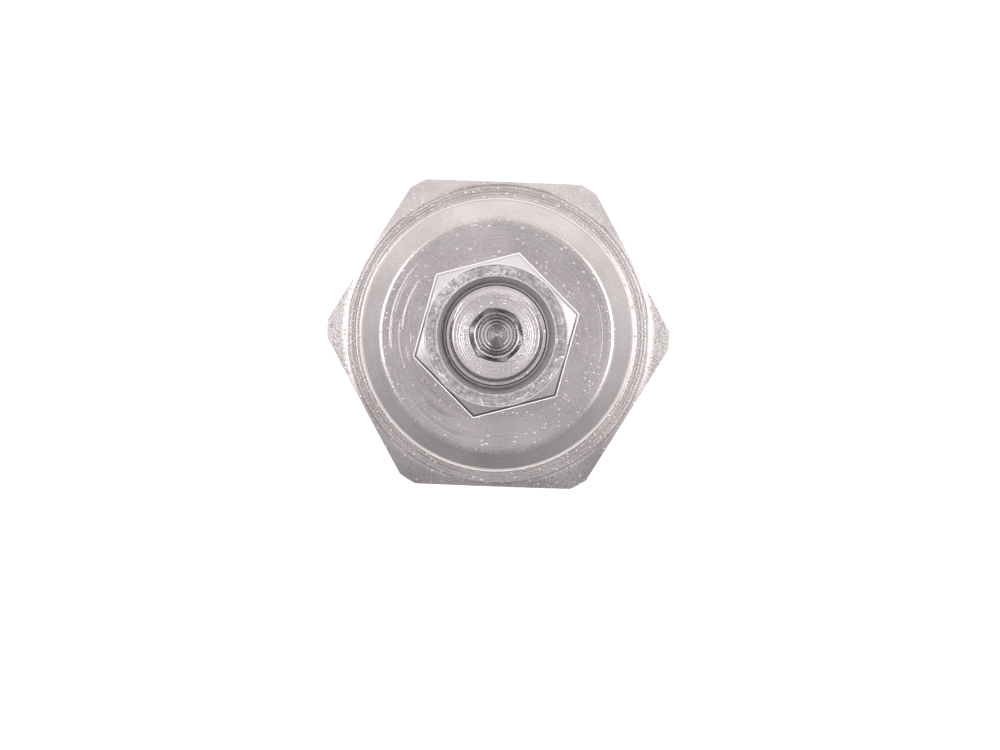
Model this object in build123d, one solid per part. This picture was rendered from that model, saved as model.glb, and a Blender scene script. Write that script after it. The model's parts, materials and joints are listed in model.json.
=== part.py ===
from build123d import *
import math
import os

# Screw-in, adjustable load-holding cartridge valve, millimetres.
# The axis is Z, the origin is the centre of the nose face, and the nose points down.
# Port 1 is the open nose, port 2 the lower ring of cross holes, port 3 the upper one.

# Hexagon of the body, as the photograph shows it end on
hex_flats = 25.4
hex_height = 12.0
hex_rim_inset = 0.3          # from the flats in to the turned face
hex_corner_trim = 0.41       # turned off each corner
hex_chamfer_deg = 30.0

# Round boss over the hexagon
boss_d = 22.2
boss_height = 12.0
boss_chamfer = 1.52          # radial width of the sloped rim
boss_chamfer_deg = 40.0
edge_break = 0.12            # small bevel left on turned edges

# Threaded skirt under the hexagon, 7/8-14 UNF, drawn at its major diameter
thread_d = 22.225
skirt_length = 15.0
skirt_lead = 0.9
seal_groove_d = 19.2
seal_groove_width = 2.8
port_seal_section = 2.46

# Adjusting screw M8 with a 4 mm socket, and its 12 mm lock nut
screw_d = 8.0
screw_end_chamfer = 0.55
screw_proud = 0.2            # of the end over the nut
screw_tip_d = 5.4
screw_tip_length = 1.6
socket_flats = 4.0
socket_depth = 4.2
socket_drill_d = 3.4
socket_drill_depth = 5.0
socket_drill_deg = 118.0
socket_mouth_extra = 0.4     # of the mouth's countersink over the socket's flats
socket_turn_deg = 48.7
thread_clearance = 0.05
nut_flats = 12.0
nut_height = 5.0
nut_rim_inset = 0.25
nut_chamfer_deg = 30.0
nut_mouth_d = 9.46
nut_mouth_depth = 1.0
nut_turn_deg = 16.5
nut_seal_d = 10.2
nut_seal_height = 1.5
nut_seal_clearance = 0.1

# Sleeve, outside
nose_land_d = 15.8
nose_chamfer = 0.8
mid_land_d = 17.4
waist_depth = 0.5            # of port 2's waist below the nose land
port3_waist_depth = 0.8      # of port 3's waist below the mid land
flange_d = 18.8
flange_height = 1.0
neck_d = 16.0
neck_length = 9.0
neck_clearance = 0.02
land_chamfer = 0.4

# Sleeve, inside
nose_wall = 2.5              # of the nose land round the nose's bore
check_seat_width = 0.9       # of the shoulder that the check ring closes on
relief_step = 1.0            # in from that shoulder's edge to the relief piston's bore
pilot_step = 1.3             # out from there to the pilot land's bore
seat_wall = 1.0              # of the nose land past the check edge
port_margin = 1.2            # of the chambers past the cross holes
relief_guide_length = 5.5
port2_hole_d = 3.6
port2_holes = 6
port3_hole_d = 2.8
port3_holes = 4
port3_rise = 4.2             # of port 3's holes over the piston's stop
port2_land_gap = 2.2
port3_land_gap = 0.3
port3_flange_gap = 0.4

# Seals on the sleeve
seal_section = 1.78
seal_squeeze = 0.2           # how far a seal stands proud of its land
backup_width = 1.25
groove_play = 0.3
scarf_gap = 0.15
scarf_deg = 25.0
neck_seal_section = 1.0
neck_seal_height = 6.4

# Check ring, its spring and what keeps them in the nose
ring_groove_inset = 1.2
ring_groove_depth = 0.6
ring_thickness = 1.0
ring_play = 0.05
ring_band = 1.3
ring_gap_deg = 38.0
ring_lug_d = 2.4
ring_lug_hole_d = 1.0
retainer_thickness = 1.0
retainer_ports = 6
retainer_port_d = 1.8
retainer_wall = 0.95         # outside the drilled ports
retainer_web = 0.7           # between them and the middle hole
check_spring_length = 4.9
check_wire_d = 0.55
check_spring_turns = 4.5
check_height = 4.3
check_clearance = 0.05
check_cone_rise = 0.5
relief_seat_width = 1.0      # of the cone that the relief piston closes on
check_foot = 1.8             # width of the ring's foot, with its clearance
check_throat = 1.6
check_flats = 4
check_flat_depth = 0.55
seat_gap = 0.02

# Relief piston
relief_stroke = 1.8
piston_clearance = 0.05
piston_tip_rise = 0.9        # of the cone's tip below the relief edge
piston_stem_depth = 0.8      # of the stem below the relief bore's wall
piston_shoulder = 1.0
piston_stop_gap = 0.6        # of the stop to the pilot bore's wall
piston_stop_height = 1.0
piston_waist_depth = 2.0     # of the waist below the pilot bore's wall
pilot_land_gap = 1.3
relief_seal_section = 1.1
pilot_seal_section = 1.4
piston_backup_width = 0.9
seal_play = 0.03
vent_d = 1.4
vent_slot_width = 1.0
ball_d = 4.0
pad_lift = 0.4               # of the lower pad over the sleeve

# Spring chamber
chamber_d = 15.0
lower_pad_gap = 0.6          # of the lower pad to the chamber's wall
lower_pad_thickness = 2.0
pad_stub_height = 3.0
stub_play = 0.35
spring_wire_d = 2.0
spring_gap = 1.1             # of the coils to the chamber's wall
spring_length = 15.1
spring_turns = 5.5
pad_clearance = 0.05
upper_pad_height = 5.5
pad_seal_section = 1.4
pad_recess_depth = 1.2
pad_recess_play = 0.4
pad_headroom = 2.0           # above the pad, for backing the screw out

# Bores and the pieces in them, from the nose land inwards
nose_bore_r = nose_land_d / 2 - nose_wall
check_edge_r = nose_bore_r - check_seat_width      # the edge that the check ring closes on
check_foot_r = nose_bore_r - check_foot
relief_bore_r = check_edge_r - relief_step
pilot_bore_r = relief_bore_r + pilot_step
relief_edge_r = relief_bore_r - relief_seat_width  # the edge that the relief piston closes on
piston_stem_r = relief_bore_r - piston_stem_depth
piston_stop_r = pilot_bore_r - piston_stop_gap
piston_waist_r = pilot_bore_r - piston_waist_depth

# Heights above the nose, from the nose up
retainer_z = ring_groove_inset + ring_thickness + 2 * ring_play
check_spring_z = retainer_z + retainer_thickness
check_z = check_spring_z + check_spring_length
check_edge_z = check_z + check_height
nose_land_top = check_edge_z - seat_wall
port2_z = check_edge_z + port_margin + port2_hole_d / 2
port2_chamber_top = port2_z + port2_hole_d / 2 + port_margin
mid_land_bottom = port2_z + port2_hole_d / 2 + port2_land_gap
piston_stop_z = port2_chamber_top + relief_guide_length
port3_z = piston_stop_z + port3_rise
mid_land_top = port3_z - port3_hole_d / 2 - port3_land_gap
flange_bottom = port3_z + port3_hole_d / 2 + port3_flange_gap
skirt_bottom = flange_bottom + flange_height
sleeve_top = skirt_bottom + neck_length
seat_z = skirt_bottom + skirt_length
hex_top = seat_z + hex_height
boss_top = hex_top + boss_height
nut_top = boss_top + nut_height
screw_top = nut_top + screw_proud
piston_top = sleeve_top - relief_stroke
lower_pad_z = sleeve_top + pad_lift
ball_z = (piston_top + lower_pad_z) / 2
spring_z = lower_pad_z + lower_pad_thickness
upper_pad_z = spring_z + spring_length
upper_pad_top = upper_pad_z + upper_pad_height
chamber_top = upper_pad_top + pad_headroom
screw_bottom = upper_pad_top - pad_recess_depth

# Radii and widths that mating pieces share
hex_face_r = hex_flats / 2 - hex_rim_inset
hex_corner_r = hex_flats / 2 / math.cos(math.pi / 6) - hex_corner_trim
nut_face_r = nut_flats / 2 - nut_rim_inset
nut_corner_r = nut_flats / 2 / math.cos(math.pi / 6)
thread_hole_r = screw_d / 2 + thread_clearance
check_r = nose_bore_r - check_clearance
relief_r = relief_bore_r - piston_clearance
pilot_r = pilot_bore_r - piston_clearance
pad_r = chamber_d / 2 - pad_clearance
lower_pad_r = chamber_d / 2 - lower_pad_gap
spring_mean_d = chamber_d - 2 * spring_gap - spring_wire_d
stub_r = (spring_mean_d - spring_wire_d) / 2 - stub_play
seal_depth = seal_section - seal_squeeze
seal_groove = seal_section + 2 * backup_width + groove_play
nose_groove_z = nose_land_top / 2
mid_groove_z = (mid_land_bottom + mid_land_top) / 2
neck_seal_z = skirt_bottom + neck_seal_height
pilot_land_bottom = port3_z + port3_hole_d / 2 + pilot_land_gap
relief_groove_z = (port2_chamber_top + piston_stop_z) / 2
pilot_groove_z = (pilot_land_bottom + piston_top) / 2
pad_groove_z = upper_pad_z + upper_pad_height / 2
check_spring_mean_d = check_r + check_foot_r       # under the middle of the ring's foot
retainer_port_circle_r = check_r - retainer_wall - retainer_port_d / 2
retainer_hole_r = retainer_port_circle_r - retainer_port_d / 2 - retainer_web
overrun = 1.0                # of a cutting shape past the surface that it cuts


def turned(*outline):
    """A solid turned about the valve's axis from an outline of (radius, height) points."""
    edges = Polyline(*[(r, 0, z) for r, z in outline], close=True).edges()
    return revolve(make_face(edges), axis=Axis.Z)


def band(inner_r, outer_r, bottom, top):
    """A plain ring."""
    return turned((inner_r, bottom), (outer_r, bottom), (outer_r, top), (inner_r, top))


def hexagon(flats, bottom, top, turn_deg=0.0):
    """An upright hexagonal prism with two corners on X before it is turned."""
    outline = RegularPolygon(flats / 2, 6, major_radius=False)
    return Pos(0, 0, bottom) * Rot(0, 0, turn_deg) * extrude(outline, top - bottom)


def hex_blank(flats, face_r, corner_r, chamfer_deg, bottom, top, turn_deg=0.0):
    """A hexagon whose corners are turned down and chamfered at both faces."""
    drop = (corner_r - face_r) * math.tan(math.radians(chamfer_deg))
    blank = turned((0, bottom), (face_r, bottom), (corner_r, bottom + drop),
                   (corner_r, top - drop), (face_r, top), (0, top))
    return blank & hexagon(flats, bottom, top, turn_deg)


def radial_holes(count, hole_d, reach, z):
    """Drills that run from the axis outwards, evenly spaced."""
    drill = Pos(reach / 2, 0, z) * Rot(0, 90, 0) * Cylinder(hole_d / 2, reach)
    return [Rot(0, 0, 360 * i / count) * drill for i in range(count)]


def o_ring(inner_r, section, z):
    """An O-ring lying level at height z."""
    return Pos(0, 0, z) * Torus(inner_r + section / 2, section / 2)


def backup_ring(inner_r, outer_r, bottom, width):
    """A square-edged ring with a slanted split."""
    ring = band(inner_r, outer_r, bottom, bottom + width)
    cut = Box(outer_r, scarf_gap, 3 * width)
    return ring - Pos(outer_r / 2, 0, bottom + width / 2) * Rot(scarf_deg, 0, 0) * cut


def ball_dimple(z, rim_z):
    """A cone of 90 degrees that the pivot ball sits in, open at the face at rim_z."""
    depth = ball_d / 2 * math.sqrt(2) - abs(z - rim_z)
    tip_z = rim_z - math.copysign(depth, z - rim_z)
    return turned((0, tip_z), (depth, rim_z), (0, rim_z))


def coil_spring(wire_d, mean_d, bottom, length, turns):
    """A compression spring with its ends ground flat."""
    r = wire_d / 2
    pitch = (length - wire_d / 2) / turns
    start = bottom + wire_d / 4
    path = Pos(0, 0, start) * Helix(pitch, pitch * turns, mean_d / 2)
    section = Plane(path @ 0, z_dir=path % 0) * Circle(r)
    wire = sweep(section, path)
    reach = mean_d + 2 * wire_d
    return wire & Pos(0, 0, bottom + length / 2) * Box(reach, reach, length)


def valve_body():
    """Hexagon, boss and threaded skirt in one piece, with the spring chamber inside."""
    chamfer_drop = boss_chamfer * math.tan(math.radians(boss_chamfer_deg))
    boss_r = boss_d / 2
    groove_bottom = seat_z - seal_groove_width
    outer = turned(
        (0, skirt_bottom), (thread_d / 2 - skirt_lead, skirt_bottom),
        (thread_d / 2, skirt_bottom + skirt_lead),
        (thread_d / 2, groove_bottom - edge_break), (thread_d / 2 - edge_break, groove_bottom),
        (seal_groove_d / 2, groove_bottom), (seal_groove_d / 2, seat_z), (boss_r, seat_z),
        (boss_r, boss_top - chamfer_drop), (boss_r - boss_chamfer, boss_top), (0, boss_top))
    head = hex_blank(hex_flats, hex_face_r, hex_corner_r, hex_chamfer_deg, seat_z, hex_top)
    bore = turned(
        (0, skirt_bottom), (neck_d / 2 + edge_break, skirt_bottom),
        (neck_d / 2, skirt_bottom + edge_break), (neck_d / 2, sleeve_top),
        (chamber_d / 2, sleeve_top), (chamber_d / 2, chamber_top),
        (thread_hole_r, chamber_top), (thread_hole_r, boss_top), (0, boss_top))
    return outer + head - bore


def sleeve():
    """Cage under the body: lands, waists and cross holes outside, the three bores inside."""
    nose_r, mid_r = nose_land_d / 2, mid_land_d / 2
    waist2_r, waist3_r = nose_r - waist_depth, mid_r - port3_waist_depth
    neck_r = neck_d / 2 - neck_clearance
    outer = turned(
        (0, 0), (nose_r - nose_chamfer, 0), (nose_r, nose_chamfer),
        (nose_r, nose_land_top - land_chamfer), (waist2_r, nose_land_top),
        (waist2_r, mid_land_bottom), (mid_r - land_chamfer, mid_land_bottom),
        (mid_r, mid_land_bottom + land_chamfer), (mid_r, mid_land_top), (waist3_r, mid_land_top),
        (waist3_r, flange_bottom), (flange_d / 2, flange_bottom), (flange_d / 2, skirt_bottom),
        (neck_r, skirt_bottom), (neck_r, sleeve_top - land_chamfer),
        (neck_r - land_chamfer, sleeve_top), (0, sleeve_top))
    bore = turned(
        (0, 0), (nose_bore_r, 0), (nose_bore_r, ring_groove_inset),
        (nose_bore_r + ring_groove_depth, ring_groove_inset),
        (nose_bore_r + ring_groove_depth, retainer_z), (nose_bore_r, retainer_z),
        (nose_bore_r, check_edge_z), (check_edge_r, check_edge_z),
        (check_edge_r, port2_chamber_top), (relief_bore_r, port2_chamber_top),
        (relief_bore_r, piston_stop_z), (pilot_bore_r, piston_stop_z),
        (pilot_bore_r, sleeve_top), (0, sleeve_top))
    solid = outer - bore
    for land_r, z, width, depth in (
            (nose_r, nose_groove_z, seal_groove, seal_depth),
            (mid_r, mid_groove_z, seal_groove, seal_depth),
            (neck_r, neck_seal_z, neck_seal_section + groove_play, neck_seal_section)):
        solid -= band(land_r - depth, land_r + overrun, z - width / 2, z + width / 2)
    for drill in radial_holes(port2_holes, port2_hole_d, waist2_r + overrun, port2_z):
        solid -= drill
    for drill in radial_holes(port3_holes, port3_hole_d, waist3_r + overrun, port3_z):
        solid -= drill
    return solid


def check_ring():
    """Ring that closes up against the sleeve and carries the relief seat in its bore."""
    edge_z = check_edge_z - seat_gap
    cone_drop = check_r - check_edge_r
    top_r = check_edge_r - check_cone_rise
    ring_top = edge_z + check_cone_rise
    ring = turned(
        (check_foot_r, check_z), (check_r, check_z), (check_r, edge_z - cone_drop),
        (top_r, ring_top), (relief_edge_r, ring_top), (relief_edge_r, ring_top - check_throat),
        (check_foot_r, ring_top - check_throat))
    flat = Pos(check_r - check_flat_depth, 0, edge_z - check_flat_depth) * Box(
        check_r, 2 * check_r, 2 * check_height, align=(Align.MIN, Align.CENTER, Align.MAX))
    for i in range(check_flats):
        ring -= Rot(0, 0, 360 * i / check_flats) * flat
    return ring


def check_spring_retainer():
    """Drilled washer that the check spring stands on."""
    washer = band(retainer_hole_r, check_r, retainer_z, check_spring_z)
    drill = Pos(retainer_port_circle_r, 0, (retainer_z + check_spring_z) / 2) * Cylinder(
        retainer_port_d / 2, retainer_thickness + overrun)
    for i in range(retainer_ports):
        washer -= Rot(0, 0, 360 * i / retainer_ports) * drill
    return washer


def nose_retaining_ring():
    """Open ring with two eyes, sprung into the groove inside the nose."""
    outer_r = nose_bore_r + ring_groove_depth - ring_play
    inner_r = outer_r - ring_band
    bottom = ring_groove_inset + ring_play
    top = bottom + ring_thickness
    ring = band(inner_r, outer_r, bottom, top)
    half = math.radians(ring_gap_deg / 2)
    far = 2 * outer_r
    gap = make_face(Polyline((0, 0), (far * math.cos(half), far * math.sin(half)),
                             (far * math.cos(half), -far * math.sin(half)), close=True).edges())
    ring -= Pos(0, 0, bottom - overrun) * extrude(gap, ring_thickness + 2 * overrun)
    eye_r = nose_bore_r - ring_lug_d / 2 - ring_play
    eye_deg = ring_gap_deg / 2 + math.degrees(ring_lug_d / 2 / eye_r)
    for side in (-1, 1):
        place = Rot(0, 0, side * eye_deg) * Pos(eye_r, 0, (bottom + top) / 2)
        ring += place * Cylinder(ring_lug_d / 2, ring_thickness)
        ring -= place * Cylinder(ring_lug_hole_d / 2, 2 * ring_thickness)
    return ring


def piston_groove_width(section):
    """Width of a piston groove that holds one O-ring and one backup ring."""
    return section + piston_backup_width + groove_play / 2


def relief_piston():
    """Piston whose cone closes the check ring's bore and whose upper land takes pilot pressure."""
    edge_z = check_edge_z + check_cone_rise
    cone_top = edge_z + relief_r - relief_edge_r
    stop_top = piston_stop_z + piston_stop_height
    solid = turned(
        (0, edge_z - piston_tip_rise), (relief_edge_r - piston_tip_rise, edge_z - piston_tip_rise),
        (relief_r, cone_top), (relief_r, cone_top + piston_shoulder),
        (piston_stem_r, cone_top + piston_shoulder),
        (piston_stem_r, port2_chamber_top - piston_shoulder / 2),
        (relief_r, port2_chamber_top), (relief_r, piston_stop_z),
        (piston_stop_r, piston_stop_z), (piston_stop_r, stop_top),
        (piston_waist_r, stop_top), (piston_waist_r, pilot_land_bottom),
        (pilot_r, pilot_land_bottom), (pilot_r, piston_top), (0, piston_top))
    for land_r, bore_r, z, section in (
            (relief_r, relief_bore_r, relief_groove_z, relief_seal_section),
            (pilot_r, pilot_bore_r, pilot_groove_z, pilot_seal_section)):
        half = piston_groove_width(section) / 2
        solid -= band(bore_r - section - seal_play, land_r + overrun, z - half, z + half)
    vent_z = (cone_top + piston_shoulder + port2_chamber_top - piston_shoulder / 2) / 2
    solid -= ball_dimple(ball_z, piston_top)
    solid -= turned((0, vent_z), (vent_d / 2, vent_z), (vent_d / 2, piston_top), (0, piston_top))
    solid -= Pos(0, 0, vent_z) * Rot(0, 90, 0) * Cylinder(vent_d / 2, 4 * relief_r)
    return solid - Pos(0, 0, piston_top) * Box(4 * pilot_r, vent_slot_width, 2 * vent_slot_width)


def groove_seals(bore_r, z, section):
    """O-ring and backup ring side by side in a piston's groove, centred on z."""
    root_r = bore_r - section - seal_play
    half = piston_groove_width(section) / 2
    seal = o_ring(root_r, section, z - half + section / 2)
    ring = backup_ring(root_r, bore_r - 2 * seal_play, z + half - piston_backup_width,
                       piston_backup_width)
    return seal, ring


def sleeve_seals(land_d, z):
    """O-ring between two backup rings in a groove of the sleeve, centred on z."""
    root_r = land_d / 2 - seal_depth
    step = (seal_section + backup_width) / 2 + groove_play / 4
    return (o_ring(root_r, seal_section, z),
            backup_ring(root_r, land_d / 2, z - step - backup_width / 2, backup_width),
            backup_ring(root_r, land_d / 2, z + step - backup_width / 2, backup_width))


def lower_spring_pad():
    """Seat under the main spring, which rocks on the ball."""
    solid = turned(
        (0, lower_pad_z), (lower_pad_r - edge_break, lower_pad_z),
        (lower_pad_r, lower_pad_z + edge_break), (lower_pad_r, spring_z), (stub_r, spring_z),
        (stub_r, spring_z + pad_stub_height - land_chamfer),
        (stub_r - land_chamfer, spring_z + pad_stub_height), (0, spring_z + pad_stub_height))
    return solid - ball_dimple(ball_z, lower_pad_z)


def upper_spring_pad():
    """Seat over the main spring, sealed in the chamber and pushed down by the screw."""
    recess_r = screw_d / 2 + pad_recess_play
    solid = turned(
        (0, upper_pad_z - pad_stub_height), (stub_r - land_chamfer, upper_pad_z - pad_stub_height),
        (stub_r, upper_pad_z - pad_stub_height + land_chamfer), (stub_r, upper_pad_z),
        (pad_r, upper_pad_z), (pad_r, upper_pad_top - land_chamfer),
        (pad_r - land_chamfer, upper_pad_top), (recess_r, upper_pad_top),
        (recess_r, screw_bottom), (0, screw_bottom))
    half = piston_groove_width(pad_seal_section) / 2
    root_r = chamber_d / 2 - pad_seal_section - seal_play
    return solid - band(root_r, pad_r + overrun, pad_groove_z - half, pad_groove_z + half)


def adjusting_screw():
    """Socket set screw with a turned tip, its end about level with the nut."""
    screw_r, tip_r = screw_d / 2, screw_tip_d / 2
    tip_z = screw_bottom + screw_tip_length
    shank = turned(
        (0, screw_bottom), (tip_r - edge_break, screw_bottom), (tip_r, screw_bottom + edge_break),
        (tip_r, tip_z), (screw_r, tip_z + screw_r - tip_r), (screw_r, screw_top - screw_end_chamfer),
        (screw_r - screw_end_chamfer, screw_top), (0, screw_top))
    mouth_r = (socket_flats + socket_mouth_extra) / 2
    drill_r = socket_drill_d / 2
    drill_floor = screw_top - socket_drill_depth
    drill_tip = drill_floor - drill_r / math.tan(math.radians(socket_drill_deg / 2))
    shank -= hexagon(socket_flats, screw_top - socket_depth, screw_top, socket_turn_deg)
    shank -= turned((0, drill_tip), (drill_r, drill_floor), (drill_r, screw_top), (0, screw_top))
    return shank - turned((0, screw_top - mouth_r), (mouth_r, screw_top), (0, screw_top))


def lock_nut():
    """Thin hexagon nut, countersunk on top, with a counterbore for its seal ring below."""
    solid = hex_blank(nut_flats, nut_face_r, nut_corner_r, nut_chamfer_deg,
                      boss_top, nut_top, nut_turn_deg)
    return solid - turned(
        (0, boss_top), (nut_seal_d / 2, boss_top), (nut_seal_d / 2, boss_top + nut_seal_height),
        (thread_hole_r, boss_top + nut_seal_height), (thread_hole_r, nut_top - nut_mouth_depth),
        (nut_mouth_d / 2, nut_top), (0, nut_top))


def nut_seal_ring():
    """Seal ring held in the nut, against the boss and the screw."""
    return band(thread_hole_r, nut_seal_d / 2 - thread_clearance,
                boss_top, boss_top + nut_seal_height - nut_seal_clearance)


def pieces():
    """Every piece of the valve by its name."""
    relief_seal, relief_backup = groove_seals(
        relief_bore_r, relief_groove_z, relief_seal_section)
    pilot_seal, pilot_backup = groove_seals(
        pilot_bore_r, pilot_groove_z, pilot_seal_section)
    pad_seal, pad_backup = groove_seals(chamber_d / 2, pad_groove_z, pad_seal_section)
    nose_seal, nose_lower, nose_upper = sleeve_seals(nose_land_d, nose_groove_z)
    mid_seal, mid_lower, mid_upper = sleeve_seals(mid_land_d, mid_groove_z)
    return {
        "valve_body": valve_body(),
        "sleeve": sleeve(),
        "sleeve_o_ring": o_ring(
            neck_d / 2 - neck_clearance - neck_seal_section, neck_seal_section, neck_seal_z),
        "port_seal_o_ring": o_ring(
            seal_groove_d / 2, port_seal_section, seat_z - port_seal_section / 2),
        "mid_o_ring": mid_seal,
        "mid_backup_ring_lower": mid_lower,
        "mid_backup_ring_upper": mid_upper,
        "nose_o_ring": nose_seal,
        "nose_backup_ring_lower": nose_lower,
        "nose_backup_ring_upper": nose_upper,
        "nose_retaining_ring": nose_retaining_ring(),
        "check_spring_retainer": check_spring_retainer(),
        "check_spring": coil_spring(
            check_wire_d, check_spring_mean_d, check_spring_z, check_spring_length,
            check_spring_turns),
        "check_ring": check_ring(),
        "relief_piston": relief_piston(),
        "relief_o_ring": relief_seal,
        "relief_backup_ring": relief_backup,
        "pilot_o_ring": pilot_seal,
        "pilot_backup_ring": pilot_backup,
        "pivot_ball": Pos(0, 0, ball_z) * Sphere(ball_d / 2),
        "lower_spring_pad": lower_spring_pad(),
        "main_spring": coil_spring(
            spring_wire_d, spring_mean_d, spring_z, spring_length, spring_turns),
        "upper_spring_pad": upper_spring_pad(),
        "pad_o_ring": pad_seal,
        "pad_backup_ring": pad_backup,
        "adjusting_screw": adjusting_screw(),
        "lock_nut": lock_nut(),
        "nut_seal_ring": nut_seal_ring(),
    }


os.makedirs("parts", exist_ok=True)
for name, solid in pieces().items():
    export_step(solid, os.path.join("parts", name + ".step"))
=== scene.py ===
import json
import math

import bmesh
import bpy
from mathutils import Matrix, Vector, noise


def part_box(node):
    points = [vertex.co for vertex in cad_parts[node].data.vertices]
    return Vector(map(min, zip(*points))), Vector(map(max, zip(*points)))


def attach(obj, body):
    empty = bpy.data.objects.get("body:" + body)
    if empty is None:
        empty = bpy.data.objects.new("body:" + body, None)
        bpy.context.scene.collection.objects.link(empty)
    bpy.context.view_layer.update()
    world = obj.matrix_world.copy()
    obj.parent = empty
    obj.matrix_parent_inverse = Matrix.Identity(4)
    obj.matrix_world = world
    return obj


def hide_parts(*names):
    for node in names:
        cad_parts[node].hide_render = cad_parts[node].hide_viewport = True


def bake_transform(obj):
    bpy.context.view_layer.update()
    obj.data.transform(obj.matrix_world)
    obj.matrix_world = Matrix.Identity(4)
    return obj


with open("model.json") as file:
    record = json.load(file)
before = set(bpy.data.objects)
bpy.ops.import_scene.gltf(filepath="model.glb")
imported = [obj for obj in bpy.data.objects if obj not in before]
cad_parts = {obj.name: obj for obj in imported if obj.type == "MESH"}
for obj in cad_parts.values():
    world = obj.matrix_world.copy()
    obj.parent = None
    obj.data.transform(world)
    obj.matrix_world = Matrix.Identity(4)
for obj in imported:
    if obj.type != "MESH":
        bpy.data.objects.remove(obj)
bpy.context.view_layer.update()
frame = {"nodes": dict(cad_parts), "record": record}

MM = 0.001
TAU = 2 * math.pi
EDGE = 0.06 * MM              # bevel on turned edges
WELD = 0.0002 * MM            # vertices closer than this are merged
CUT_MARGIN = 1e-8             # vertices closer to a cut than this lie on it

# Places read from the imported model
seat_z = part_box("port_seal_o_ring")[1].z
body_low, body_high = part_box("valve_body")
screw_low, screw_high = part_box("adjusting_screw")
nut_low, nut_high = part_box("lock_nut")
pad_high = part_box("upper_spring_pad")[1].z
sleeve_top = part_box("sleeve")[1].z

# Body
HEX_FLATS = body_high.y - body_low.y
HEX_CORNER_R = body_high.x
HEX_TOP = seat_z + 12.0 * MM
HEX_FACE_R = HEX_FLATS / 2 - 0.3 * MM
HEX_SLOPE = math.tan(math.radians(30))
TIP_START_R = 12.65 * MM      # where the hexagon's chamfer starts to turn steeper
TIP_BLEND = 0.4 * MM          # over which it does so
CHAMFER_SLOPES = (math.tan(math.radians(25)), math.tan(math.radians(33)))
CHAMFER_ROWS = 8
BOSS_R = 11.1 * MM
BOSS_RIM = 1.52 * MM          # width of the boss's sloped rim
BOSS_DEG = 40.0               # its slope
BOSS_EDGE = 0.1 * MM          # bevel at the boss's outer edge
BOSS_EDGE_FALL = 1.2 * BOSS_EDGE
FOOT_WIDTH = 0.62 * MM        # hollow between the boss and the hexagon's face
FOOT_HEIGHT = 0.45 * MM
FOOT_TURNS = (90, 72, 58, 48, 40, 33, 26, 19, 12, 5)   # degrees round the hollow's section

# Turned waves of the hexagon's face as (distance outside the hollow, depth) in mm. They are
# shallowest WAVE_TURN below the right and deepest opposite, by WAVE_MEAN plus or minus WAVE_SWING.
RING_WAVES = ((0.03, 0.0), (0.09, 0.022), (0.15, 0.0))
WAVE_TURN = math.radians(15)
WAVE_MEAN = 0.7
WAVE_SWING = 0.3

# Outer edge of that face, with its fine groove, as (distance from the chamfer, fall) in mm
RING_EDGE = ((-0.26, 0.008), (-0.1, 0.055), (-0.05, 0.065), (-0.02, 0.125), (0.02, 0.085))
RING_BURR = 0.05 * MM         # width of the burr outside the groove, where the chamfer starts

# Fall of the boss's face at its edge, from FACE_EDGE_R out, as (width in mm, slope in degrees)
FACE_EDGE_R = 9.08 * MM
FACE_EDGE_STEPS = ((0.05, 16), (0.05, 2), (0.1, 1), (0.015, 1), (0.015, 17), (0.18, 17), (0.015, 17),
                   (0.015, 40))
RIM_ROWS = 5

# Inside of the body and its seal groove
SEAL_ROOT_R = 9.6 * MM
SEAL_GROOVE = 2.8 * MM
NECK_R = 8.0 * MM
CHAMBER_R = 7.5 * MM
HEADROOM = 2.0 * MM
HOLE_R = 4.05 * MM
BODY_STEPS = 360

# Rows of the boss's face, and the turning marks cut in it as (row, middle and half span in degrees,
# share of the full depth). Those on the left are spread over their ranges by fixed steps.
FACE_ROW = 0.05 * MM
FACE_ROWS_FROM = 6.0 * MM
MARK_DEPTH = 0.02 * MM
RIGHT_MARKS = ((29, 358, 20, 0.5), (48, 12, 17, 0.6), (52, 2, 26, 0.8), (33, 26, 9, 0.6))
LEFT_MARK_COUNT = 44

# Threads: major radius, pitch and depth
SCREW_R = 4.0 * MM
SKIRT_THREAD = (11.11 * MM, 1.814 * MM, 1.11 * MM)
SKIRT_LEAD = 0.9 * MM         # lead-in bevel at the skirt's foot
SCREW_THREAD = (SCREW_R, 1.25 * MM, 0.72 * MM)
CREST = 1 / 16                # half width of a crest's flat, as a share of the pitch
FADE_LENGTH = 0.8 * MM        # over which a thread runs out

# Nut
NUT_FLATS = 12.0 * MM
NUT_CORNER_R = NUT_FLATS / 2 / math.cos(TAU / 12) - 0.04 * MM
NUT_FACE_R = NUT_FLATS / 2 - 0.25 * MM
NUT_TURN = math.radians(16.5)
NUT_MOUTH_R = 4.73 * MM
NUT_MOUTH_DEPTH = 0.62 * MM
NUT_LIP = 0.16 * MM           # nearly flat lip at the foot of the countersink
NUT_SEAL_R = 5.1 * MM
NUT_SEAL_HEIGHT = 1.5 * MM
NUT_EDGE = 0.1 * MM           # bevel round the hexagon's outline, bright from its slope and from a painted highlight
NUT_EDGE_SLOPE = math.tan(math.radians(64))
NUT_SHADE_LINE_WIDTH = 0.16 * MM          # width of the line of painted shade inside that bevel
NUT_BEAD = 0.012 * MM         # height of the plating's beads along the face's rims
MOUTH_ROWS, NUT_FACE_ROWS, NUT_CHAMFER_ROWS = 10, 20, 8
NUT_STEPS = 540

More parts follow.
